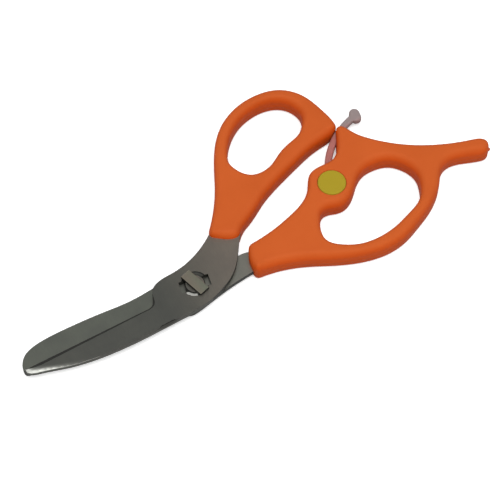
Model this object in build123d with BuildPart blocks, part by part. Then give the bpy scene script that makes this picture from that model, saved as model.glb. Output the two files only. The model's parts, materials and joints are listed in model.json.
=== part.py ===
"""Take-apart craft scissors with blunt curved blades, two moulded loops and an assist lever.

The scissors lie closed on the backs of their handles. +X runs from the tips to the handles, +Y from the
finger loop to the thumb loop, and +Z up from the face they lie on. Outlines are drawn from the pivot's
axis, at (pivot_x, pivot_y), and the origin is at the bottom centre of the whole object's box.
"""

from build123d import *
import os

# Driving dimensions, millimetres and degrees
pivot_x, pivot_y = -28.64, -20.25    # the pivot's axis, seen from the middle of the closed scissors
handle_thick = 9.0                   # both handles
edge_round = 1.8                     # rounding along the handles' edges
corner_round = 2.0                   # rounding of the handles' corners, seen from above
horn_tip = (80.5, 35.8)              # the horn's tip before its rounding, from the pivot
blade_thick = 2.0                    # each blade
ride_gap = 0.03                      # half the running gap between the blades
blade_reach = 72.0                   # from the pivot to just past the tips
heel_x = 20.0                        # from the pivot to the cutting edges' inner ends
bevel_depth, bevel_width = 1.0, 1.3  # ground bevel behind each cutting edge
front_edge_y, rear_edge_y = -0.75, -3.3
edge_slant = 0.5                     # how far the front blade's edge falls back towards the tip
tang_hole_radius = 2.0               # hole in each tang, filled by the handle

neck_radius = 3.85                   # stud's neck, the bearing of the front blade
neck_gap = 0.05                      # running clearance round the neck
sink_radius, sink_angle = 5.2, 130   # shallow countersink of the front blade's hole
bar_length, bar_width = 11.0, 4.2    # bar head of the stud
bar_thick = 1.3
bar_angle = 107.0                    # direction of the bar while the scissors are closed
key_angle = -10.0                    # direction of the keyways while the scissors are closed
key_gap = 0.25                       # room round the bar as it leaves through the keyways
shank_radius = 2.5                   # stud's shank in the rear blade
rivet_radius, rivet_thick = 3.6, 0.7

hub_x, hub_y = 65.6, 12.3            # the lever's axle, from the pivot
hub_radius = 4.6
lever_thick = 2.6
arm_radius, arm_width = 33.0, 2.7    # centreline and width of the curved arm
arm_start, arm_turn = 166.0, -63.4   # angles: where the arm's arc starts, and how far it turns
pad_length, pad_width = 6.2, 4.2     # thumb pad at the arm's end
pad_angle = 80.0
slot_mouth = (80, 60), (32, 36.5)    # far corners of the fan that the lever swings through
slot_gap = 0.3                       # room beside the lever

button_radius, button_thick = 5.45, 1.6
button_proud = 0.2                   # how far the button stands out of the handle
axle_radius, axle_gap = 2.7, 0.05    # button's shank, and the lever's running clearance on it
snap_radius = 1.5                    # button's end, held in the retainer
retainer_radius, retainer_thick = 4.0, 1.4
retainer_sunk = 0.3                  # how far the retainer lies inside the back face
sink_gap = 0.15                      # room round the button and the retainer

# Levels, worked out from the driving dimensions
shear_z = handle_thick / 2
front_z = shear_z + ride_gap
rear_z = shear_z - ride_gap - blade_thick
bar_z = front_z + blade_thick + ride_gap
lever_z = (handle_thick - lever_thick) / 2
button_z = handle_thick + button_proud - button_thick
retainer_top = retainer_sunk + retainer_thick
arm_centre = Vector(hub_x, hub_y) - Vector(arm_radius, 0).rotate(Axis.Z, arm_start)


def at(z, x=0, y=0):
    """A horizontal plane at height z, with its origin at (x, y) from the pivot's axis."""
    return Plane(origin=(pivot_x + x, pivot_y + y, z))


def rim(part):
    """The top and bottom edges of a plate."""
    levels = part.edges().group_by(Axis.Z)
    return levels[0] + levels[-1]


def grind(edge_y, back, face_z, down):
    """Cuts the ground bevel behind a blade's straight cutting edge: back is the way to the blade's spine,
    and down the way into the blade from its outer face."""
    y = pivot_y + edge_y
    with BuildSketch(Plane.YZ.offset(pivot_x - blade_reach)) as wedge:
        with BuildLine():
            Polyline((y, face_z), (y, face_z + down * bevel_depth), (y + back * bevel_width, face_z),
                     close=True)
        make_face()
    extrude(wedge.sketch, amount=blade_reach - heel_x, mode=Mode.SUBTRACT)


def finish(part, name):
    """Names a sub-part and writes it."""
    part.part.label = name
    export_step(part.part, f"parts/{name}.step")


os.makedirs("parts", exist_ok=True)

# Front blade: on top, cuts along its +Y edge, tang in the thumb handle
with BuildPart() as front_blade:
    with BuildSketch(at(front_z)):
        with BuildLine():
            Line((-70.4, front_edge_y - edge_slant), (-20, front_edge_y))
            Spline((-20, front_edge_y), (-17.9, -0.2), (-16.6, 1.8), (-14.6, 5.7), (-12.4, 7.0), (-5, 8.0),
                   (3, 9.7), (9, 12.4), (15, 16.4))
            Line((15, 16.4), (30, 30.5))
            Spline((30, 30.5), (34.5, 31.2), (37, 26))
            Line((37, 26), (23.6, 8.8))
            Spline((23.6, 8.8), (20.3, 3.8), (15.3, -2.3), (8, -6.8), (0.3, -9.3), (-12, -10.2),
                   (-26, -10.6), (-42, -10.1), (-56, -7.8), (-66, -4.9), (-69.6, -3.4),
                   (-70.4, front_edge_y - edge_slant))
        make_face()
        Rectangle(bar_length + 2 * key_gap, bar_width + 2 * key_gap, rotation=key_angle,
                  mode=Mode.SUBTRACT)
        with Locations((31, 25)):
            Circle(tang_hole_radius, mode=Mode.SUBTRACT)
    extrude(amount=blade_thick)
    with Locations(at(front_z + blade_thick)):
        CounterSinkHole(neck_radius + neck_gap, sink_radius, depth=blade_thick,
                        counter_sink_angle=sink_angle)
    grind(front_edge_y, -1, front_z + blade_thick, -1)
finish(front_blade, "front_blade")

# Rear blade: underneath, cuts along its -Y edge, tang in the finger handle
with BuildPart() as rear_blade:
    with BuildSketch(at(rear_z)):
        with BuildLine():
            Line((-68.6, rear_edge_y), (-14.5, rear_edge_y))
            Spline((-14.5, rear_edge_y), (-11.6, -4.6), (-9.2, -7.9), (-6.6, -9.5), (-3.6, -9.4),
                   (6.1, -7.3), (16.1, -5.6), (23, -5.0))
            Line((23, -5.0), (44, -6.5))
            Spline((44, -6.5), (47.5, -2), (44, 2.5))
            Line((44, 2.5), (26, 2.0))
            Spline((26, 2.0), (24, 3.4), (20, 3.7), (14, 4.8), (7, 6.9), (-3, 7.6), (-14, 6.8),
                   (-23.4, 6.1), (-36, 6.8), (-50, 7.3), (-61.4, 6.8), (-67.1, 5.0), (-70.3, 1.0),
                   (-70.6, -1.6), (-68.6, rear_edge_y))
        make_face()
        Circle(shank_radius, mode=Mode.SUBTRACT)
        with Locations((38, -2)):
            Circle(tang_hole_radius, mode=Mode.SUBTRACT)
    extrude(amount=blade_thick)
    grind(rear_edge_y, 1, rear_z, 1)
finish(rear_blade, "rear_blade")

# Stud: riveted into the rear blade, turns in the front blade, bar head on the front face
with BuildPart() as pivot_stud:
    with BuildSketch(at(rear_z - rivet_thick)):
        Circle(rivet_radius)
    extrude(amount=rivet_thick)
    fillet(pivot_stud.edges().group_by(Axis.Z)[0], rivet_thick * 0.7)
    with BuildSketch(at(rear_z)):
        Circle(shank_radius)
    extrude(amount=blade_thick)
    with BuildSketch(at(rear_z + blade_thick)):
        Circle(neck_radius)
    extrude(amount=bar_z - rear_z - blade_thick)
    with BuildSketch(at(bar_z)):
        RectangleRounded(bar_length, bar_width, 0.6, rotation=bar_angle)
    extrude(amount=bar_thick)
    chamfer(pivot_stud.edges().group_by(Axis.Z)[-1], 0.25)
finish(pivot_stud, "pivot_stud")

# Thumb handle: smaller loop, moulded round the front blade's tang
with BuildPart() as thumb_handle:
    with BuildSketch(at(0)) as thumb_outline:
        with BuildLine():
            Spline((13.4, 15.3), (15.6, 17.6), (20.3, 23.5), (26.1, 32.8), (32.1, 44.6), (40.8, 55.5),
                   (50, 60.6), (60.3, 62.1), (69, 60.1), (76, 53.5), (79.3, 44.1), (80.4, 38.5), (80.6, 33.9))
            Spline((80.6, 33.9), (77, 32.6), (70, 31.4), (60, 28.4), (50, 24.7), (40, 20.1), (32, 15.2),
                   (27.6, 12.9), (25.3, 10.9))
            Spline((25.3, 10.9), (23.6, 9.7), (20.4, 10.2), (16.7, 12.6), (13.4, 15.3))
        make_face()
        fillet(thumb_outline.vertices(), corner_round)
        with BuildLine():
            Spline((36.2, 40.5), (39.2, 46.4), (43.9, 51.6), (50, 55.5), (56.2, 57.2), (62, 57.2),
                   (67.6, 54.9), (70.8, 50.4), (71.2, 45.5), (69.2, 41.5), (66, 38.3), (60.6, 36.4),
                   (54.7, 34), (50, 31.2), (45.3, 30), (41, 30.8), (38, 33.7), (36.5, 37), periodic=True)
        make_face(mode=Mode.SUBTRACT)
    extrude(amount=handle_thick)
    fillet(rim(thumb_handle), edge_round)
    # Relief in the corner for the lever's arm, which lies in it while the scissors are closed
    with BuildSketch(at(lever_z - slot_gap)):
        SlotArc(CenterArc(arm_centre, arm_radius, arm_start, arm_turn), arm_width + 2 * slot_gap)
    extrude(amount=lever_thick + 2 * slot_gap, mode=Mode.SUBTRACT)
    add(front_blade.part, mode=Mode.SUBTRACT)
finish(thumb_handle, "thumb_handle")

# Finger handle: larger loop with the lever's boss and horn and the finger-rest tail, moulded round
# the rear blade's tang
with BuildPart() as finger_handle:
    with BuildSketch(at(0)) as finger_outline:
        with BuildLine():
            Spline((22.5, -7.1), (22, -3.5), (22.6, -0.5), (25, 4.1))
            Spline((25, 4.1), (36.4, 5.6), (44.5, 7.8), (52.5, 11.2), (56.4, 14.8), (60.4, 20.2), (64, 21.4),
                   (68.6, 21.4), (72.4, 22.2), (75, 24.7), (77.2, 28.6), (79.2, 32.5), horn_tip)
            Spline(horn_tip, (83.2, 32), (85, 28.3), (88, 24.2), (93.1, 19.1), (99.3, 14.2),
                   (107.5, 9.4), (115.7, 5.9), (122.8, 3.7), (126.7, 2.1), (127.9, 0.4), (127.6, -1.7),
                   (126, -3.3), (122.8, -3.1), (116.8, -1), (110.5, 0.1), (106.6, -1.4), (102.5, -6.2),
                   (95.4, -12.8), (86.2, -17.6), (78.2, -20.7), (70.2, -21.6), (60.6, -20), (49.9, -15.8),
                   (40.8, -11.4), (30.7, -8.1), (22.5, -7.1))
        make_face()
        fillet(finger_outline.vertices(), corner_round)
        with BuildLine():
            Spline((51.4, -5.5), (52.3, -2.2), (54.1, 1), (56.3, 3.6), (58.6, 4.2), (61, 3.6), (65, 2.8),
                   (69.9, 4.7), (75.9, 10.3), (80.1, 12.6), (85, 13), (90.1, 11.8), (94.6, 7.4),
                   (96.5, 1.5), (95.2, -3.8), (91.5, -9.4), (84.7, -12.8), (77, -15.4), (69, -16.4),
                   (61, -15.2), (55.2, -12.1), (52, -8.9), periodic=True)
        make_face(mode=Mode.SUBTRACT)
    extrude(amount=handle_thick)
    fillet(rim(finger_handle), edge_round)
    with BuildSketch(at(lever_z - slot_gap)):
        with Locations((hub_x, hub_y)):
            Circle(hub_radius + slot_gap)
        with BuildLine():
            swept = CenterArc(arm_centre, arm_radius, arm_start, arm_turn)
            Line(swept @ 1, slot_mouth[0])
            Line(slot_mouth[0], slot_mouth[1])
            Line(slot_mouth[1], swept @ 0)
        make_face()
        SlotArc(swept, arm_width + 2 * slot_gap)
    extrude(amount=lever_thick + 2 * slot_gap, mode=Mode.SUBTRACT)
    with Locations(at(handle_thick, hub_x, hub_y)):
        CounterBoreHole(axle_radius, button_radius + sink_gap, handle_thick - button_z)
    with BuildSketch(at(0, hub_x, hub_y)):
        Circle(retainer_radius + sink_gap)
    extrude(amount=retainer_top, mode=Mode.SUBTRACT)
    add(rear_blade.part, mode=Mode.SUBTRACT)
finish(finger_handle, "finger_handle")

# Assist lever: a springy arm from its hub on the button's shank, through the horn, to the thumb pad
with BuildPart() as assist_lever:
    with BuildSketch(at(lever_z)):
        with BuildLine(mode=Mode.PRIVATE):
            arm = CenterArc(arm_centre, arm_radius, arm_start, arm_turn)
        SlotArc(arm, arm_width)
        with Locations((hub_x, hub_y)):
            Circle(hub_radius)
        with Locations(arm @ 1):
            SlotCenterToCenter(pad_length - pad_width, pad_width, rotation=pad_angle)
        with Locations((hub_x, hub_y)):
            Circle(axle_radius + axle_gap, mode=Mode.SUBTRACT)
    extrude(amount=lever_thick)
finish(assist_lever, "assist_lever")

# Button: yellow head on the axle that the lever turns on, its end snapped into the retainer
with BuildPart() as lever_button:
    with BuildSketch(at(button_z, hub_x, hub_y)):
        Circle(button_radius)
    extrude(amount=button_thick)
    fillet(lever_button.edges().group_by(Axis.Z)[-1], 0.5)
    with BuildSketch(at(retainer_top, hub_x, hub_y)):
        Circle(axle_radius)
    extrude(amount=button_z - retainer_top)
    with BuildSketch(at(2 * retainer_sunk, hub_x, hub_y)):
        Circle(snap_radius)
    extrude(amount=retainer_top - 2 * retainer_sunk)
finish(lever_button, "lever_button")

# Retainer: disc let into the back of the boss
with BuildPart() as button_retainer:
    with BuildSketch(at(retainer_sunk, hub_x, hub_y)):
        Circle(retainer_radius)
        Circle(snap_radius, mode=Mode.SUBTRACT)
    extrude(amount=retainer_thick)
finish(button_retainer, "button_retainer")
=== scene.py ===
"""Looks of the take-apart craft scissors: moulded handles, ground blades, pivot stud and assist lever.

Meshes are made in millimetres in the row frame and written to Blender in metres. Outlines are read off the
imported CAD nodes, so that every piece lies where the CAD says.
"""

import json
import math

import bmesh
import bpy
import numpy as np
from mathutils import Matrix, Vector
from mathutils.geometry import delaunay_2d_cdt


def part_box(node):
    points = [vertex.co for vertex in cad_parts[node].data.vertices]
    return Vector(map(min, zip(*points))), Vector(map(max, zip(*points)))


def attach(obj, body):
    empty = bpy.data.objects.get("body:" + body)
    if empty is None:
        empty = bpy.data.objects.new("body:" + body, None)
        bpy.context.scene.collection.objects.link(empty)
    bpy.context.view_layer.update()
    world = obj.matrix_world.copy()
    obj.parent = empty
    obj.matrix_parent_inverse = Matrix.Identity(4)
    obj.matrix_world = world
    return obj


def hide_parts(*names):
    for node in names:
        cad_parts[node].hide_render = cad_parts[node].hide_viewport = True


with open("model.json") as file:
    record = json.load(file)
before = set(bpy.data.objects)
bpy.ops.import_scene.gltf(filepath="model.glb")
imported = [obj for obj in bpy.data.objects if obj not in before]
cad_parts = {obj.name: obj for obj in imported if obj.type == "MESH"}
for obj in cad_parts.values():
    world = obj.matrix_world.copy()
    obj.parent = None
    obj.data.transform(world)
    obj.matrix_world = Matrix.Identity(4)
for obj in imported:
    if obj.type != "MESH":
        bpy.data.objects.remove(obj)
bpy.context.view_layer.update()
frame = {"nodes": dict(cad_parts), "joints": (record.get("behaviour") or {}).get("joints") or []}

MM = 0.001
NODES = frame["nodes"]
JOINTS = {j["name"]: j for j in frame["joints"]}
PIVOT = np.array(JOINTS["blade_pivot"]["pos_m"]) / MM
HUB = np.array(JOINTS["lever_swing"]["pos_m"]) / MM

# Sizes in millimetres and degrees; places are from the pivot. First the handles
ROLL_WIDE, ROLL_DEEP = (1.8, 3.1), (1.8, 3.8)    # roll of the upper edges: far sides, near sides
ROLL_WAY = (0.485, 0.875)                        # the near sides roll in this way
EDGE_ROUND = 1.8                                 # rounding of the lower edges
SEAM_AT, SEAM_HALF, SEAM_OUT = 0.42, 0.16, 0.03  # mould's seam: part of the height, half width, relief
POCKETS_Z = 2.2                                  # their outlines are read here, below their pockets
GATE = (127.75, -1.7)                            # stub of the mould's gate on the tail's end
# Blades
HOLE_R, SINK_R, SINK_DEEP, SINK_RIM = 3.9, 5.2, 0.6, 0.45    # pivot hole, countersink, width of its rim
HIGHLIGHT_WAY = (-0.66, -0.755)                       # the countersink has a painted highlight in this direction
KEY = (11.5, 4.7, -10.0)                         # keyways: length, width, direction
HEEL_X = -20.0                                   # inner end of the cutting edges
CUT_Y, CUT_SLANT, REAR_CUT_Y = -0.75, 0.5 / 50.4, -3.3    # front edge at the heel, its slope; rear edge
SOFT = 0.05                                      # breaking of all other edges
BEVEL_WIDE, BEVEL_GAIN, BEVEL_DEEP = 0.85, 0.75, 0.9      # bevel: width at the heel, gain to the tip, depth
BEVEL_RUN_OUT, BEVEL_LONG = 3.0, 48.0            # its fading at the heel, way from heel to tip
BUFF_X, BUFF_LONG, BUFF_DEEP = -46.0, 24.0, 0.4  # buffed part of the spine: start, length, depth at the tip
GLINT_X = -44.0                                  # the painted highlight on the buffed slopes starts here
STEEL, PAINTED_SHADE, PAINTED_HIGHLIGHT, PAINTED_DIM = range(4)              # numbers of a blade's materials: steel, painted shade, painted highlight, painted dim grey
# Stud
NECK_R, SHANK_R, RIVET_R, BOSS_R = 3.85, 2.5, 3.6, 2.0    # the last is the boss under the bar
BAR, BAR_CHAMFER = (10.5, 4.2, 107.0), 0.28      # length, width, direction
# Lever, button and retainer
LEVER_SLOT, LEVER_SWING = 0.3, 50.0              # room beside the lever, its range
ARM_R, ARM_W, ARM_START, ARM_TURN = 33.0, 2.7, 166.0, -63.4    # curve's radius, width, start, way round
HUB_R = 4.6
SLOT_MOUTH = ((80, 60), (32, 36.5))              # far corners of the fan that the lever swings through
BUTTON_R, BUTTON_GAP, BUTTON_HEAD = 5.45, 0.08, 1.6       # radius, room round it, height of its head
RETAINER_R, SNAP_R, SEAT_Z = 4.15, 1.7, 1.7      # retainer's well, its bore, the well's depth


def node_z(name):
    low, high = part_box(name)
    return low.z / MM, high.z / MM


HANDLE_TOP = node_z("thumb_handle")[1]


# ---------------------------------------------------------------- outlines read off the CAD

def section(name, z):
    """Closed loops, as arrays of (x, y) in mm, where a CAD node crosses the height z; the largest first."""
    bm = bmesh.new()
    bm.from_mesh(NODES[name].data)
    bmesh.ops.scale(bm, vec=(1 / MM,) * 3, verts=bm.verts)
    bmesh.ops.remove_doubles(bm, verts=bm.verts, dist=1e-4)
    cut = bmesh.ops.bisect_plane(bm, geom=bm.verts[:] + bm.edges[:] + bm.faces[:], dist=1e-5,
                                 plane_co=(0, 0, z), plane_no=(0, 0, 1))["geom_cut"]
    near = {}
    for e in (g for g in cut if isinstance(g, bmesh.types.BMEdge)):
        a, b = e.verts
        near.setdefault(a, []).append(b)
        near.setdefault(b, []).append(a)
    loops = []
    while near:
        start = next(iter(near))
        loop, last, here = [start], None, start
        while True:
            step = [v for v in near[here] if v is not last]
            if not step or step[0] is start:
                break
            last, here = here, step[0]
            loop.append(here)
        for v in loop:
            near.pop(v, None)
        loops.append(np.array([(v.co.x, v.co.y) for v in loop]))
    bm.free()
    return sorted(loops, key=lambda p: -abs(area(p)))


def area(p):
    q = np.roll(p, -1, 0)
    return ((p[:, 0] * q[:, 1] - q[:, 0] * p[:, 1]).sum()) / 2


def ccw(p):
    """The loop, turned counter-clockwise."""
    return p if area(p) > 0 else p[::-1]


def resample(p, step, corner=28.0, smooth=4):
    """A closed loop with even spacing, counter-clockwise, with smooth curves. The points where it turns by
    more than corner degrees stay where they are."""
    least, look_ahead, reach = 0.02, 0.25, 1.0    # spacing of points, way to see a turn, room of a corner
    p = ccw(p)
    keep = [0]
    for i in range(1, len(p)):
        if np.linalg.norm(p[i] - p[keep[-1]]) > least:
            keep.append(i)
    p = p[keep]
    n = len(p)
    seg = np.linalg.norm(np.roll(p, -1, 0) - p, axis=1)
    s = np.concatenate([[0], np.cumsum(seg)])
    total = s[-1]

    def at(t):
        t = np.mod(t, total)
        return np.stack([np.interp(t, s, np.append(p[:, k], p[0, k])) for k in (0, 1)], -1)
    ahead = at(s[:-1] + look_ahead) - p
    behind = p - at(s[:-1] - look_ahead)
    turn = np.degrees(np.abs(np.arctan2(behind[:, 0] * ahead[:, 1] - behind[:, 1] * ahead[:, 0],
                                        (behind * ahead).sum(1))))
    sharp = [i for i in range(n) if turn[i] > corner
             and turn[i] >= max(turn[j % n] for j in range(i - 3, i + 4)
                                if min(abs(s[j % n] - s[i]), total - abs(s[j % n] - s[i])) < reach)]
    marks = [s[i] for i in sharp] or [0.0]
    out, fixed = [], []
    for a, b in zip(marks, marks[1:] + [marks[0] + total]):
        k = max(2, int(round((b - a) / step)))
        out.append(at(a + (b - a) * np.arange(k) / k))
        fixed += [bool(sharp)] + [False] * (k - 1)
    out, fixed = np.concatenate(out), np.array(fixed)
    for _ in range(smooth):
        mid = (np.roll(out, 1, 0) + np.roll(out, -1, 0)) / 2
        out = np.where(fixed[:, None], out, out * 0.5 + mid * 0.5)
    return out


def inward(p):
    """Offset direction of each point of a counter-clockwise loop, scaled so that both sides move by one."""
    a = p - np.roll(p, 1, 0)
    b = np.roll(p, -1, 0) - p
    a /= np.linalg.norm(a, axis=1)[:, None]
    b /= np.linalg.norm(b, axis=1)[:, None]
    na, nb = np.stack([-a[:, 1], a[:, 0]], -1), np.stack([-b[:, 1], b[:, 0]], -1)
    m = na + nb
    m /= np.linalg.norm(m, axis=1)[:, None]
    return m / np.maximum((m * na).sum(1), 0.5)[:, None]


# ---------------------------------------------------------------- meshes

def new_object(name, bm, smooth_angle):
    """An object in metres from a bmesh in mm, shaded smooth but for edges sharper than smooth_angle."""
    bmesh.ops.recalc_face_normals(bm, faces=bm.faces)
    mesh = bpy.data.meshes.new(name)
    bm.to_mesh(mesh)
    bm.free()
    mesh.transform(Matrix.Scale(MM, 4))
    for f in mesh.polygons:
        f.use_smooth = True
    mesh.set_sharp_from_angle(angle=math.radians(smooth_angle))
    obj = bpy.data.objects.new(name, mesh)
    bpy.context.scene.collection.objects.link(obj)
    return obj


def cap(bm, rings, up, grid=0.0, grid_end=0.0):
    """Fills between the first ring and the others, all at one height; rings are lists of BMVerts. With a
    grid spacing, points of a staggered grid are added inside, as far as x = grid_end."""
    verts = [v for r in rings for v in r]
    flat = [np.array([(v.co.x, v.co.y) for v in r]) for r in rings]
    if grid:
        edge = np.concatenate(flat)
        low, high = edge.min(0), edge.max(0)
        z = rings[0][0].co.z
        for row, y in enumerate(np.arange(low[1], high[1], grid * 0.866)):
            for x in np.arange(low[0] + (row % 2) * grid / 2, min(high[0], grid_end), grid):
                c = np.array((x, y))
                if ((edge - c) ** 2).sum(1).min() > (grid * 0.6) ** 2 and within(c, flat):
                    verts.append(bm.verts.new((x, y, z)))
    points = [Vector((v.co.x, v.co.y)) for v in verts]
    edges, base = [], 0
    for r in rings:
        edges += [(base + i, base + (i + 1) % len(r)) for i in range(len(r))]
        base += len(r)
    got = delaunay_2d_cdt(points, edges, [], 2, 1e-6, True)
    out_verts, faces, source = got[0], got[2], got[3]
    for f in faces:
        c = sum((out_verts[i] for i in f), Vector((0, 0))) / len(f)
        if not within(c, flat):
            continue
        vs = [verts[source[i][0]] for i in f]
        if len(set(vs)) == 3:
            new = bm.faces.new(vs if up else vs[::-1])
            new.normal_update()


def inside(c, p):
    q = np.roll(p, -1, 0)
    cross = (p[:, 1] > c[1]) != (q[:, 1] > c[1])
    with np.errstate(divide="ignore", invalid="ignore"):
        x = p[:, 0] + (c[1] - p[:, 1]) * (q[:, 0] - p[:, 0]) / (q[:, 1] - p[:, 1])
    return bool((cross & (c[0] < x)).sum() % 2)


def within(c, loops):
    """Whether c is inside the first loop and outside the others."""
    return inside(c, loops[0]) and not any(inside(c, hole) for hole in loops[1:])


def plate(loops, profile, grid=0.0, grid_end=0.0, wall=()):
    """A bmesh plate: loops are outer then holes, all counter-clockwise; profile is a list of (inset, z) up
    the wall, each a number or a function of (loop's points, loop's number). The strips of the wall whose
    numbers are in wall take the second material."""
    bm = bmesh.new()
    ends = [[], []]
    for k, p in enumerate(loops):
        way = inward(p) * (1 if k == 0 else -1)
        rings = []
        for inset, z in profile:
            d = inset(p, k) if callable(inset) else np.full(len(p), inset)
            h = z(p, k) if callable(z) else np.full(len(p), z)
            q = p + way * d[:, None]
            rings.append([bm.verts.new((x, y, zz)) for (x, y), zz in zip(q, h)])
        n = len(p)
        for strip, (a, b) in enumerate(zip(rings, rings[1:])):
            for i in range(n):
                j = (i + 1) % n
                f = bm.faces.new((a[i], a[j], b[j], b[i]) if k == 0 else (a[i], b[i], b[j], a[j]))
                f.material_index = int(strip in wall)
        ends[0].append(rings[0])
        ends[1].append(rings[-1])
    cap(bm, ends[0], False)
    cap(bm, ends[1], True, grid, grid_end)
    return bm


def room(loops):
    """For each point of each loop, how far in an offset can go before it meets the plate's middle line."""
    most, slope, share = 9.0, 0.15, 0.93    # limit, how fast it may change from point to point, part used
    every = np.concatenate(loops)
    out = []
    for k, p in enumerate(loops):
        way = inward(p) * (1 if k == 0 else -1)
        way /= np.linalg.norm(way, axis=1)[:, None]
        far = every[None, :, :] - p[:, None, :]
        along = (far * way[:, None, :]).sum(-1)
        size = (far ** 2).sum(-1)
        r = np.where((along > 0.05) & (size > 0.8), size / np.maximum(2 * along, 1e-6), most).min(1)
        r = np.minimum(r, most)
        for _ in range(3):
            r = np.minimum(r, np.minimum(np.roll(r, 1), np.roll(r, -1)) + slope)
        for _ in range(12):
            r = np.minimum(r, (np.roll(r, 1) + r + np.roll(r, -1)) / 3)
        out.append(r * share)
    return out


def rolled(low, high, loops, steps=11):
    """Profile of a handle's wall: round lower edge, mould's seam, and a broad roll into the flat top."""
    limits = room(loops)
    wide, deep = [], []
    for k, p in enumerate(loops):
        way = inward(p) * (1 if k == 0 else -1)
        near = way @ np.array(ROLL_WAY) / np.linalg.norm(way, axis=1)    # 1 on the near sides
        t = np.clip((near + 0.35) / 0.9, 0, 1)
        t = t * t * (3 - 2 * t)
        for _ in range(10):
            t = (np.roll(t, 1) + t + np.roll(t, -1)) / 3
        wide.append(np.minimum(ROLL_WIDE[0] + (ROLL_WIDE[1] - ROLL_WIDE[0]) * t, limits[k]))
        deep.append(ROLL_DEEP[0] + (ROLL_DEEP[1] - ROLL_DEEP[0]) * t)
    bottom = rounded(low, high, EDGE_ROUND, 8)[:8]
    z, w = high * SEAM_AT, SEAM_HALF
    seam = [(0, z - w), (-SEAM_OUT, z - w * 0.35), (-SEAM_OUT, z + w * 0.35), (0, z + w)]
    top = []
    for t in np.linspace(0, math.pi / 2, steps):
        top.append((lambda p, k, t=t: wide[k] * (1 - math.cos(t)),
                    lambda p, k, t=t: high - deep[k] * (1 - math.sin(t))))
    return bottom + seam + top


def rounded(low, high, radius, steps=7):
    """Profile of a wall with both edges rounded."""
    bottom = [(radius - radius * math.sin(t), low + radius - radius * math.cos(t))
              for t in np.linspace(0, math.pi / 2, steps)]
    top = [(i, low + high - z) for i, z in reversed(bottom)]
    return bottom + top


def lathe(profile, segments=96, centre=(0, 0)):
    """A closed solid turned round a vertical axis; profile is (radius, z) from its bottom to its top."""
    bm = bmesh.new()
    rings = []
    for r, z in profile:
        if r < 1e-9:
            rings.append([bm.verts.new((centre[0], centre[1], z))])
        else:
            rings.append([bm.verts.new((centre[0] + r * math.cos(a), centre[1] + r * math.sin(a), z))
                          for a in np.arange(segments) * 2 * math.pi / segments])
    for a, b in zip(rings, rings[1:]):
        for i in range(segments):
            j = (i + 1) % segments
            if len(a) == 1:
                bm.faces.new((a[0], b[j], b[i]))
            elif len(b) == 1:
                bm.faces.new((a[i], a[j], b[0]))
            else:
                bm.faces.new((a[i], a[j], b[j], b[i]))
    for ring, up in ((rings[0], False), (rings[-1], True)):
        if len(ring) > 1:
            bm.faces.new(ring if up else ring[::-1])
    bmesh.ops.recalc_face_normals(bm, faces=bm.faces)
    return bm


def cut(bm, cutters, operation="DIFFERENCE", index=None):
    """bm less each of the cutters, or joined to them, all closed; frees the cutters, whose faces take the
    material with that index if one is given."""
    base = bpy.data.meshes.new("base")
    bm.to_mesh(base)
    bm.free()
    obj = bpy.data.objects.new("base", base)
    bpy.context.scene.collection.objects.link(obj)
    spare = []
    for c in cutters:
        mesh = bpy.data.meshes.new("cutter")
        bmesh.ops.recalc_face_normals(c, faces=c.faces)
        for f in c.faces if index is not None else ():
            f.material_index = index
        c.to_mesh(mesh)
        c.free()
        tool = bpy.data.objects.new("cutter", mesh)
        bpy.context.scene.collection.objects.link(tool)
        spare.append(tool)
        m = obj.modifiers.new("cut", "BOOLEAN")
        m.operation, m.solver, m.object = operation, "EXACT", tool
    bpy.context.view_layer.update()
    done = bmesh.new()
    done.from_mesh(obj.evaluated_get(bpy.context.evaluated_depsgraph_get()).to_mesh())
    for o in spare + [obj]:
        mesh = o.data
        bpy.data.objects.remove(o)
        bpy.data.meshes.remove(mesh)
    return done


def box_loop(length, width, angle, centre):
    """A rectangle's corners, counter-clockwise."""
    a = math.radians(angle)
    u, v = np.array([math.cos(a), math.sin(a)]), np.array([-math.sin(a), math.cos(a)])
    c = np.array(centre[:2])
    corners = ((-1, -1), (1, -1), (1, 1), (-1, 1))
    return np.array([c + u * x * length / 2 + v * y * width / 2 for x, y in corners])


def arm_points(count):
    """Points along the centreline of the lever's arm, from the hub to the pad."""
    start = math.radians(ARM_START)
    centre = HUB[:2] - ARM_R * np.array([math.cos(start), math.sin(start)])
    t = start + math.radians(ARM_TURN) * np.linspace(0, 1, count)
    return centre + ARM_R * np.stack([np.cos(t), np.sin(t)], -1)


# ---------------------------------------------------------------- materials

class Tree:
    """Short way to write a node tree."""

    def __init__(self, owner):
        owner.use_nodes = True
        self.tree = owner.node_tree
        self.tree.nodes.clear()

    def add(self, kind, **values):
        n = self.tree.nodes.new(kind)
        for k, v in values.items():
            setattr(n, k, v)
        return n

    def link(self, a, out, b, to):
        self.tree.links.new(a.outputs[out], b.inputs[to])

    def between(self, source, out, low, high, to=(0.0, 1.0), smooth=True):
        """The source's output, mapped from low..high to to; eased at both ends if smooth."""
        m = self.add("ShaderNodeMapRange", interpolation_type="SMOOTHSTEP" if smooth else "LINEAR")
        for i, v in enumerate((low, high, *to)):
            m.inputs[i + 1].default_value = v
        self.link(source, out, m, 0)
        return m

    def mix(self, factor, low, high):
        """A number that goes from low to high with the factor node's first output."""
        m = self.add("ShaderNodeMix", data_type="FLOAT")
        for i, v in ((2, low), (3, high)):
            if isinstance(v, float):
                m.inputs[i].default_value = v
            else:
                self.link(v, 0, m, i)
        self.link(factor, 0, m, 0)
        return m

    def product(self, a, b):
        m = self.add("ShaderNodeMath", operation="MULTIPLY")
        self.link(a, 0, m, 0)
        self.link(b, 0, m, 1)
        return m


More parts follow.
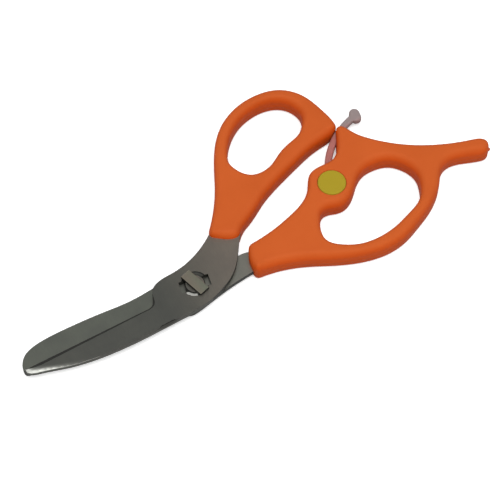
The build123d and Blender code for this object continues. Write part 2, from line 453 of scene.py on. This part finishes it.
class Nodes(Tree):
    """A new material with a Principled shader."""

    def __init__(self, name):
        self.material = bpy.data.materials.new(name)
        super().__init__(self.material)
        self.out = self.add("ShaderNodeOutputMaterial")
        self.shader = self.add("ShaderNodeBsdfPrincipled")
        self.link(self.shader, 0, self.out, 0)

    def coords(self, scale, turn=0.0):
        c = self.add("ShaderNodeTexCoord")
        m = self.add("ShaderNodeMapping")
        m.inputs["Scale"].default_value = scale
        m.inputs["Rotation"].default_value = (0, 0, math.radians(turn))
        self.link(c, "Object", m, "Vector")
        return m

    def place(self):
        """Position in the row frame, metres, one output for each axis."""
        split = self.add("ShaderNodeSeparateXYZ")
        self.link(self.coords((1, 1, 1)), 0, split, 0)
        return split

    def normal(self):
        """The surface's direction in the row frame, one output for each axis."""
        split = self.add("ShaderNodeSeparateXYZ")
        self.link(self.add("ShaderNodeTexCoord"), "Normal", split, 0)
        return split

    def noise(self, scale, size, detail, rough=0.55, turn=0.0):
        """Noise in the row frame: scale stretches each axis, size is features per metre."""
        n = self.add("ShaderNodeTexNoise")
        n.inputs["Scale"].default_value = size
        n.inputs["Detail"].default_value = detail
        n.inputs["Roughness"].default_value = rough
        self.link(self.coords(scale, turn), 0, n, "Vector")
        return n

    def ramp(self, source, stops):
        r = self.add("ShaderNodeValToRGB")
        e = r.color_ramp.elements
        while len(e) < len(stops):
            e.new(0.5)
        for el, (pos, colour) in zip(e, stops):
            el.position = pos
            el.color = (*colour, 1)
        self.link(source, 0, r, 0)
        return r

    def spread(self, source, low, high):
        return self.between(source, 0, 0.3, 0.7, (low, high), False)

    def multiply(self, a, b, a_out=0):
        """Product of two colours; its result is output 2."""
        m = self.add("ShaderNodeMix", data_type="RGBA", blend_type="MULTIPLY")
        m.inputs[0].default_value = 1.0
        self.link(a, a_out, m, 6)
        self.link(b, 0, m, 7)
        return m

    def bump(self, source, strength, distance):
        b = self.add("ShaderNodeBump")
        b.inputs["Strength"].default_value = strength
        b.inputs["Distance"].default_value = distance
        self.link(source, 0, b, "Height")
        self.link(b, 0, self.shader, "Normal")


def plastic(name, base, light, dark, roughness, gloss=0.2, side=(1.0, 1.0, 1.0)):
    """Moulded plastic: faint flow clouding in the colour, a fine sparked texture, uneven sheen. Its walls
    are tinted by side: painted shade that makes them darker and deeper in colour than the upper faces."""
    n = Nodes(name)
    cloud = n.noise((1, 1, 1), 55.0, 4.0)
    colour = n.ramp(cloud, [(0.25, dark), (0.5, base), (0.78, light)])
    # painted shade: the walls take the side tint, the upper faces keep their colour
    wall_shade_tint = n.ramp(n.between(n.normal(), 2, 0.0, 1.0), [(0.3, side), (1.0, (1.0, 1.0, 1.0))])
    n.link(n.multiply(colour, wall_shade_tint), 2, n.shader, "Base Color")
    sheen = n.spread(n.noise((1, 1, 1), 140.0, 5.0), roughness - 0.05, roughness + 0.07)
    n.link(sheen, 0, n.shader, "Roughness")
    n.bump(n.noise((1, 1, 1), 9000.0, 2.0), 0.12, 0.00002)
    n.shader.inputs["Specular IOR Level"].default_value = gloss
    return n.material


def steel(name, ends, roughness, turn=0.0, reach=(-16.0, 20.0), metal=1.0, buffed=None):
    """Ground stainless steel: fine lines at the angle turn, cloudy stain, and a slow change of tone between
    the blade's and the tang's colour, reach being the change's two ends from the pivot; that change is
    painted reflection, darker where the blade mirrors dark surroundings, paler and warmer by the orange
    handles. One colour alone stays the same all over. With buffed, slopes at x below it get a painted
    highlight."""
    n = Nodes(name)
    lines = n.noise((3500, 420, 420), 1.0, 2.0, 0.5, turn)
    cloud = n.noise((1, 1, 1), 130.0, 6.0, 0.6)
    place = n.place()
    along = n.between(place, 0, *((PIVOT[0] + r) * MM for r in reach))
    first, middle, last = ends if len(ends) == 3 else ends * 3
    # painted reflection: the tone changes from blade to tang
    tone = n.ramp(along, [(0.0, first), (0.45, middle), (1.0, last)])
    stain = n.ramp(cloud, [(0.3, (0.93, 0.93, 0.94)), (0.72, (1.05, 1.05, 1.03))])
    streak = n.ramp(lines, [(0.32, (0.975, 0.975, 0.975)), (0.68, (1.025, 1.025, 1.025))])
    colour = n.multiply(n.multiply(tone, stain), streak, 2)
    n.shader.inputs["Metallic"].default_value = metal
    # painted highlight: a pale, half-metallic colour on the buffed slopes
    if buffed:
        slope = n.between(n.normal(), 2, 0.996, 0.978)
        glint = n.product(slope, n.between(place, 0, buffed * MM, (buffed - 2) * MM, smooth=False))
        painted_glint = n.add("ShaderNodeMix", data_type="RGBA")
        painted_glint.inputs[7].default_value = (0.66, 0.67, 0.62, 1)
        n.link(glint, 0, painted_glint, 0)
        n.link(colour, 2, painted_glint, 6)
        colour = painted_glint
        n.link(n.between(glint, 0, 0.0, 1.0, (1.0, 0.4), False), 0, n.shader, "Metallic")
    n.link(colour, 2, n.shader, "Base Color")
    n.link(n.spread(cloud, roughness - 0.01, roughness + 0.01), 0, n.shader, "Roughness")
    n.bump(lines, 0.01, 0.000002)
    return n.material


def milk(name, pad, arm):
    """Unpigmented moulding seen through: cloudy, softly shiny. From the hub up the arm its colour is
    painted red, for the orange handle's light that it passes and mirrors."""
    n = Nodes(name)
    along = n.between(n.place(), 1, *((PIVOT[1] + r) * MM for r in (30.5, 35.5)))
    # painted light: red on the arm between the handles, the plain colour on the pad
    tone = n.ramp(along, [(0.0, arm), (1.0, pad)])
    stain = n.ramp(n.noise((1, 1, 1), 260.0, 4.0), [(0.3, (0.93, 0.92, 0.92)), (0.7, (1.05, 1.05, 1.05))])
    n.link(n.multiply(tone, stain), 2, n.shader, "Base Color")
    n.link(n.spread(n.noise((1, 1, 1), 500.0, 3.0), 0.28, 0.42), 0, n.shader, "Roughness")
    n.bump(n.noise((1, 1, 1), 4000.0, 2.0), 0.1, 0.00002)
    n.shader.inputs["Transmission Weight"].default_value = 0.3
    n.shader.inputs["IOR"].default_value = 1.35
    n.shader.inputs["Specular IOR Level"].default_value = 0.3
    return n.material


# ---------------------------------------------------------------- camera, floor, light

VIEW_TURN, VIEW_RISE, VIEW_FAR = -29.0, 60.0, 0.7075    # the photo's angle
VIEW_AT = (26.55, 5.94)                                 # what it looks at, from the pivot
SKY_HIGH, SKY_LOW = 0.42, 0.75                          # strength of the sky, and near the horizon
SKY_DARK = (0.24, 0.72, 0.94)                           # its dark part: strength, cosines of its rim
SKY_TOP = (2.4, 0.955, 0.985)                           # its bright zenith, likewise
turn, rise = math.radians(VIEW_TURN), math.radians(VIEW_RISE)
back = Vector((math.sin(turn) * math.cos(rise), -math.cos(turn) * math.cos(rise), math.sin(rise)))


def look(obj, place, target):
    obj.location = place
    obj.rotation_euler = (Vector(target) - Vector(place)).to_track_quat("-Z", "Y").to_euler()


def add_camera():
    target = Vector(((PIVOT[0] + VIEW_AT[0]) * MM, (PIVOT[1] + VIEW_AT[1]) * MM, 0.0))
    camera = bpy.data.objects.new("camera", bpy.data.cameras.new("camera"))
    bpy.context.scene.collection.objects.link(camera)
    camera.data.lens, camera.data.sensor_width = 135.0, 36.0
    look(camera, target + back * VIEW_FAR, target)
    bpy.context.scene.camera = camera


def add_floor():
    """Paper: lit up for the camera, darker in what the steel mirrors."""
    mesh = bpy.data.meshes.new("floor")
    mesh.from_pydata([(-3, -3, 0), (3, -3, 0), (3, 3, 0), (-3, 3, 0)], [], [(0, 1, 2, 3)])
    floor = bpy.data.objects.new("floor", mesh)
    bpy.context.scene.collection.objects.link(floor)
    n = Nodes("floor")
    seen = n.add("ShaderNodeLightPath")
    n.link(n.mix(seen, 0.5, 0.93), 0, n.shader, "Base Color")
    n.link(n.mix(seen, 0.0, 0.4), 0, n.shader, "Emission Strength")
    n.shader.inputs["Emission Color"].default_value = (1, 1, 1, 1)
    n.shader.inputs["Roughness"].default_value = 1.0
    n.shader.inputs["Specular IOR Level"].default_value = 0.0
    mesh.materials.append(n.material)


def add_lamp(name, place, size, power):
    """Area light over the object, left out of the reflections."""
    light = bpy.data.lights.new(name, "AREA")
    light.shape, light.size, light.size_y = "RECTANGLE", size[0], size[1]
    light.energy = power
    obj = bpy.data.objects.new(name, light)
    bpy.context.scene.collection.objects.link(obj)
    look(obj, place, (0, 0, 0))
    obj.visible_glossy = False


def add_sky():
    """Pale to the camera. For the rest it is grey, darker beyond the object, pale at the horizon and at
    the zenith."""
    world = bpy.data.worlds.new("studio")
    bpy.context.scene.world = world
    t = Tree(world)
    coords, split, beyond = (t.add(k) for k in ("ShaderNodeTexCoord", "ShaderNodeSeparateXYZ",
                                                "ShaderNodeVectorMath"))
    t.link(coords, "Generated", split, 0)
    beyond.operation = "DOT_PRODUCT"
    beyond.inputs[1].default_value = (-back.x, -back.y, back.z)
    t.link(coords, "Generated", beyond, 0)
    grey = t.between(split, 2, 0.12, 0.34, (SKY_LOW, SKY_HIGH))
    dark = t.product(t.between(beyond, "Value", *SKY_DARK[1:]),
                     t.between(split, 2, 0.15, 0.35, smooth=False))
    zenith = t.between(split, 2, *SKY_TOP[1:])
    sky, seen = t.add("ShaderNodeBackground"), t.add("ShaderNodeBackground")
    t.link(t.mix(zenith, t.mix(dark, grey, SKY_DARK[0]), SKY_TOP[0]), 0, sky, 1)
    seen.inputs[0].default_value = (0.92, 0.92, 0.92, 1)
    choice = t.add("ShaderNodeMixShader")
    t.link(t.add("ShaderNodeLightPath"), "Is Camera Ray", choice, 0)
    t.link(sky, 0, choice, 1)
    t.link(seen, 0, choice, 2)
    t.link(choice, 0, t.add("ShaderNodeOutputWorld"), 0)


add_camera()
add_floor()
add_sky()
add_lamp("overhead", (-0.12, -0.32, 1.1), (0.9, 0.7), 12.2)
bpy.context.scene.view_settings.view_transform = "Standard"

# ---------------------------------------------------------------- pieces

# side is painted shade on the handles' walls
orange = plastic("orange_plastic", (0.520, 0.096, 0.0185), (0.545, 0.103, 0.0205),
                 (0.495, 0.089, 0.0165), 0.5, gloss=0.13, side=(1.1, 0.80, 0.34))
yellow = plastic("yellow_plastic", (0.350, 0.262, 0.017), (0.363, 0.273, 0.019),
                 (0.337, 0.251, 0.015), 0.52)
# its second colour is painted orange light on the arm
milky = milk("milky_plastic", (0.366, 0.295, 0.29), (0.50, 0.19, 0.17))
# the blades' tones are painted reflection; the front blade's buffed slopes get a painted highlight
front_steel = steel("front_steel", ((0.285, 0.29, 0.262), (0.425, 0.40, 0.345), (0.56, 0.49, 0.42)),
                    0.31, buffed=PIVOT[0] + GLINT_X)
rear_steel = steel("rear_steel", ((0.355, 0.375, 0.325), (0.43, 0.435, 0.38), (0.58, 0.575, 0.50)), 0.34)
stud_steel = steel("stud_steel", ((0.56, 0.50, 0.40), (0.54, 0.51, 0.40), (0.47, 0.50, 0.39)),
                   0.36, BAR[2], (-3.0, 3.5))
# painted shade: very dark steel for walls, the cutting edge's bevel and the keyways
painted_shade_steel = steel("painted_shade_steel", ((0.075, 0.075, 0.068),), 0.45)
# painted shade: dim grey steel for the spine and the countersink's shaded side
painted_dim_steel = steel("painted_dim_steel", ((0.145, 0.145, 0.13),), 0.45)
# painted highlight: pale, half-metallic steel for the bright side of the countersink
painted_highlight_steel = steel("painted_highlight_steel", ((0.72, 0.72, 0.67),), 0.45, metal=0.4)


def finish_piece(obj, materials, body, slot, *replaced):
    for m in materials:
        obj.data.materials.append(m)
    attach(obj, body)
    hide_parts(*replaced)
    return obj


def handle(name):
    """A handle with its finger hole."""
    loops = [resample(p, 0.35, 60.0) for p in section(name, POCKETS_Z)[:2]]
    return plate(loops, rolled(0.0, HANDLE_TOP, loops))


def arm_band():
    """Centreline of the lever's arm, the ways along it, and its two sides with the slot's room."""
    arm = arm_points(60)
    way = np.gradient(arm, axis=0)
    way /= np.linalg.norm(way, axis=1)[:, None]
    side = np.stack([way[:, 1], -way[:, 0]], -1) * (ARM_W / 2 + LEVER_SLOT)
    return arm, way, arm + side, arm - side


def arm_slot(loop):
    """A cutter as high as the lever's slot."""
    low, high = node_z("assist_lever")
    return plate([ccw(loop)], [(0, low - LEVER_SLOT), (0, high + LEVER_SLOT)])


def thumb_handle():
    """Handle with a shallow relief in its corner, where the lever's arm lies."""
    arm, way, one, other = arm_band()
    relief = arm_slot(np.concatenate([one, other[::-1]]))
    return new_object("thumb_loop", cut(handle("thumb_handle"), [relief]), 40.0)


def finger_handle():
    """Handle with the lever's slot, the button's well and the retainer's well cut out."""
    low, high = node_z("assist_lever")
    arm, way, one, other = arm_band()
    mouth = [PIVOT[:2] + np.array(m) for m in SLOT_MOUTH]
    fan = np.concatenate([one[3:], [arm[-1] + way[-1] * 12, mouth[0], mouth[1]]])
    cos, sin = math.cos(math.radians(LEVER_SWING)), math.sin(math.radians(LEVER_SWING))
    swung = (np.concatenate([one, other[::-1]]) - HUB[:2]) @ np.array([[cos, sin], [-sin, cos]]) + HUB[:2]
    hub = HUB_R + LEVER_SLOT
    well = BUTTON_R + BUTTON_GAP
    seat = node_z("lever_button")[1] - BUTTON_HEAD
    tools = [arm_slot(fan),
             lathe([(hub, low - LEVER_SLOT), (hub, high + LEVER_SLOT)], centre=HUB[:2]),
             arm_slot(swung),
             lathe([(well, seat), (well, HANDLE_TOP - 0.2), (well + 0.2, HANDLE_TOP),
                    (well + 0.2, HANDLE_TOP + 1)], centre=HUB[:2]),
             lathe([(RETAINER_R + 0.2, -1), (RETAINER_R + 0.2, 0), (RETAINER_R, 0.2),
                    (RETAINER_R, SEAT_Z)], centre=HUB[:2])]
    stub = lathe([(0, 3.6), (0.45, 3.75), (0.6, 4.3), (0.5, 4.9), (0, 5.2)], 16, PIVOT[:2] + np.array(GATE))
    return new_object("finger_loop", cut(cut(handle("finger_handle"), [stub], "UNION"), tools), 40.0)


def front_line(x):
    """The front blade's cutting edge: y at x, both from the pivot."""
    return CUT_Y + (x - HEEL_X) * CUT_SLANT


def rear_line(x):
    """The rear blade's cutting edge, likewise."""
    return REAR_CUT_Y + 0 * x


def blend(values, times):
    """Evens out values round a loop."""
    for _ in range(times):
        values = (np.roll(values, 1) + 2 * values + np.roll(values, -1)) / 4
    return values


def blade_profile(outline, low, high, line, up, step=False):
    """Wall of a blade: softened edges, and a ground bevel behind the straight cutting edge y = line(x). The
    bevel widens towards the tip; with step it runs out round the heel's concave corner."""
    x, y = outline[:, 0] - PIVOT[0], outline[:, 1] - PIVOT[1]
    ground = np.where((np.abs(y - line(x)) < 0.35) & (x < HEEL_X + 0.3), 1.0, 0.0)
    if step:
        corner = (x >= HEEL_X) & (x < -13) & (y < 4)
        ground = np.maximum(ground, np.where(corner, np.clip((3.2 - y) / 2.6, 0, 1), 0.0))
    else:
        ground *= np.clip((HEEL_X - x) / BEVEL_RUN_OUT, 0, 1)
    ground = blend(ground, 6)
    wide = BEVEL_WIDE + BEVEL_GAIN * np.clip((HEEL_X - x) / BEVEL_LONG, 0, 1)
    wide = blend(np.minimum(wide, room([outline])[0] * 0.8), 4)

    def ring(u):
        angle = u * math.pi / 2
        inset = (1 - ground) * SOFT * (1 - math.cos(angle)) + ground * wide * u
        drop = (1 - ground) * SOFT * (1 - math.sin(angle)) + ground * BEVEL_DEEP * (1 - u)
        return (lambda p, k: inset), (lambda p, k: high - drop if up else low + drop)
    bevel = [ring(u) for u in (0, 0.33, 0.67, 1)]
    plain = [(SOFT, 0), (SOFT * 0.3, SOFT * 0.3), (0, SOFT)]
    if up:
        return [(inset, low + rise) for inset, rise in plain] + bevel
    return bevel[::-1] + [(inset, high - drop) for inset, drop in plain[::-1]]


def front_blade():
    """Upper blade: its spine is buffed over towards the tip, where its slopes carry a painted highlight.
    Its walls are painted dark for shade, but the spine is bare of that and painted a dim grey instead.
    """
    low, high = node_z("front_blade")
    outline = resample(section("front_blade", low + 0.3)[0], 0.4)
    # every wall strip first takes the painted dark shade
    bm = plate([outline], blade_profile(outline, low, high, front_line, True, True), 0.8,
               PIVOT[0] + GLINT_X, range(6))
    spine = outline[outline[:, 1] - PIVOT[1] < front_line(outline[:, 0] - PIVOT[0]) - 0.3]

    def from_spine(p):
        return np.sqrt(((spine - (p.x, p.y)) ** 2).sum(1).min())
    # The wall keeps its painted dark shade, but for the spine up to the pivot: painted dim grey there,
    # and on the buffed lip the blade's steel with its painted highlight
    for f in bm.faces:
        c = f.calc_center_median()
        x, y = c.x - PIVOT[0], c.y - PIVOT[1]
        if f.material_index == PAINTED_SHADE and x < 3 and y < front_line(x) - 1.2 and from_spine(c) <= 0.5:
            on_lip = x < GLINT_X and c.z > low + 1.85
            f.material_index = STEEL if on_lip else PAINTED_DIM
    # Its upper edge falls away towards the tip
    for v in bm.verts:
        x = v.co.x - PIVOT[0]
        if v.co.z > low + 0.5 and x < BUFF_X:
            t = min(1.0, (BUFF_X - x) / BUFF_LONG)
            wide, fall = 0.3 + 2.6 * t ** 1.6, BUFF_DEEP * t ** 1.4
            v.co.z -= fall * max(0.0, 1 - from_spine(v.co) / wide) ** 2
    centre = PIVOT[:2]
    rim = high - SINK_DEEP * SINK_RIM / (SINK_R - HOLE_R)
    sink = lathe([(HOLE_R, low - 1), (HOLE_R, high - SINK_DEEP), (SINK_R - SINK_RIM, rim),
                  (SINK_R, high), (SINK_R, high + 1)], centre=centre)
    keys = plate([box_loop(*KEY, centre)], [(0, low - 1), (0, high + 1)])
    bm = cut(bm, [sink], index=PAINTED_HIGHLIGHT)
    # The countersink gets a painted highlight on one side and painted shade on the other, darkest at its
    # rim
    for f in (f for f in bm.faces if f.material_index == PAINTED_HIGHLIGHT):
        out = f.calc_center_median().xy - Vector(centre)
        side = out.normalized().dot(Vector(HIGHLIGHT_WAY))
        if side < 0.15:
            f.material_index = PAINTED_SHADE if out.length > SINK_R - SINK_RIM else PAINTED_DIM
        elif side <= 0.9:
            f.material_index = STEEL
    # the keyways' walls take the painted dark shade
    return new_object("front_blade_ground", cut(bm, [keys], index=PAINTED_SHADE), 12.0)


def rear_blade():
    low, high = node_z("rear_blade")
    outline = resample(section("rear_blade", high - 0.3)[0], 0.4)
    # wall strips 3 to 5 take the painted dark shade
    bm = plate([outline], blade_profile(outline, low, high, rear_line, False), wall=(3, 4, 5))
    return new_object("rear_blade_ground", bm, 12.0)


def pivot_stud():
    """Rivet head, shank and neck turned in one, with the bar head across the neck."""
    low, high = node_z("pivot_stud")
    rear_low, rear_high = node_z("rear_blade")
    face = node_z("front_blade")[1]
    turned = lathe([(0, low), (RIVET_R - 0.5, low), (RIVET_R - 0.15, low + 0.15), (RIVET_R, low + 0.5),
                    (RIVET_R, rear_low), (SHANK_R, rear_low), (SHANK_R, rear_high), (NECK_R, rear_high),
                    (NECK_R, face - 0.4), (NECK_R - 0.35, face - 0.05), (BOSS_R, face - 0.05),
                    (BOSS_R, face + 0.2), (0, face + 0.2)], centre=PIVOT[:2])
    # faces out beyond the neck's rim take the painted dark shade, the rest the front blade's steel
    for f in turned.faces:
        out = (f.calc_center_median().xy - Vector(PIVOT[:2])).length
        f.material_index = 1 if out > NECK_R - 0.3 else 2
    loop = resample(box_loop(*BAR, PIVOT), 0.2, 45.0, 2)
    # the bar's walls take the painted dark shade; its chamfer keeps the stud's steel
    head = plate([loop], [(0, face + 0.03), (0, high - BAR_CHAMFER), (0.06, high - BAR_CHAMFER * 0.4),
                          (BAR_CHAMFER * 0.7, high)], wall=(0, 1))
    return new_object("pivot_stud_turned", cut(turned, [head], "UNION"), 28.0)


def assist_lever():
    """Hub, thin curved arm and thumb pad, all with full rounded edges."""
    low, high = node_z("assist_lever")
    loops = [resample(p, 0.22, 60.0) for p in section("assist_lever", (low + high) / 2)[:2]]
    return new_object("assist_lever_moulded", plate(loops, rounded(low, high, 0.75)), 60.0)


def lever_button():
    """Flush head with a rounded rim and a faint dish, shank and snap end."""
    low, high = node_z("lever_button")
    r, under = BUTTON_R, high - BUTTON_HEAD
    rim = [(r - 0.5 + 0.5 * math.cos(t), high - 0.5 + 0.5 * math.sin(t))
           for t in np.linspace(0, math.pi / 2, 7)]
    bm = lathe([(0, low), (1.3, low), (1.5, low + 0.2), (1.5, SEAT_Z), (2.7, SEAT_Z), (2.7, under),
                (r, under)] + rim
               + [(r - 1.2, high - 0.03), (r - 2.6, high - 0.07), (0, high - 0.1)], centre=HUB[:2])
    return new_object("lever_button_cap", bm, 40.0)


def button_retainer():
    """Disc with a snap bore, in the back of the boss."""
    low, high = node_z("button_retainer")
    bm = lathe([(SNAP_R, high), (4.0, high), (4.0, low + 0.3), (3.7, low), (2.3, low), (1.9, low + 0.25),
                (SNAP_R, low + 0.25)], centre=HUB[:2])
    return new_object("button_retainer_disc", bm, 40.0)


finish_piece(thumb_handle(), [orange], "thumb_half", "orange_plastic", "thumb_handle")
finish_piece(finger_handle(), [orange], "finger_half", "orange_plastic", "finger_handle")
finish_piece(front_blade(), [front_steel, painted_shade_steel, painted_highlight_steel, painted_dim_steel],
             "thumb_half", "blade_steel", "front_blade")
finish_piece(rear_blade(), [rear_steel, painted_shade_steel], "finger_half", "blade_steel", "rear_blade")
finish_piece(pivot_stud(), [stud_steel, painted_shade_steel, front_steel], "finger_half", "stud_steel", "pivot_stud")
finish_piece(assist_lever(), [milky], "lever", "clear_plastic", "assist_lever")
finish_piece(lever_button(), [yellow], "finger_half", "yellow_plastic", "lever_button")
finish_piece(button_retainer(), [yellow], "finger_half", "yellow_plastic", "button_retainer")
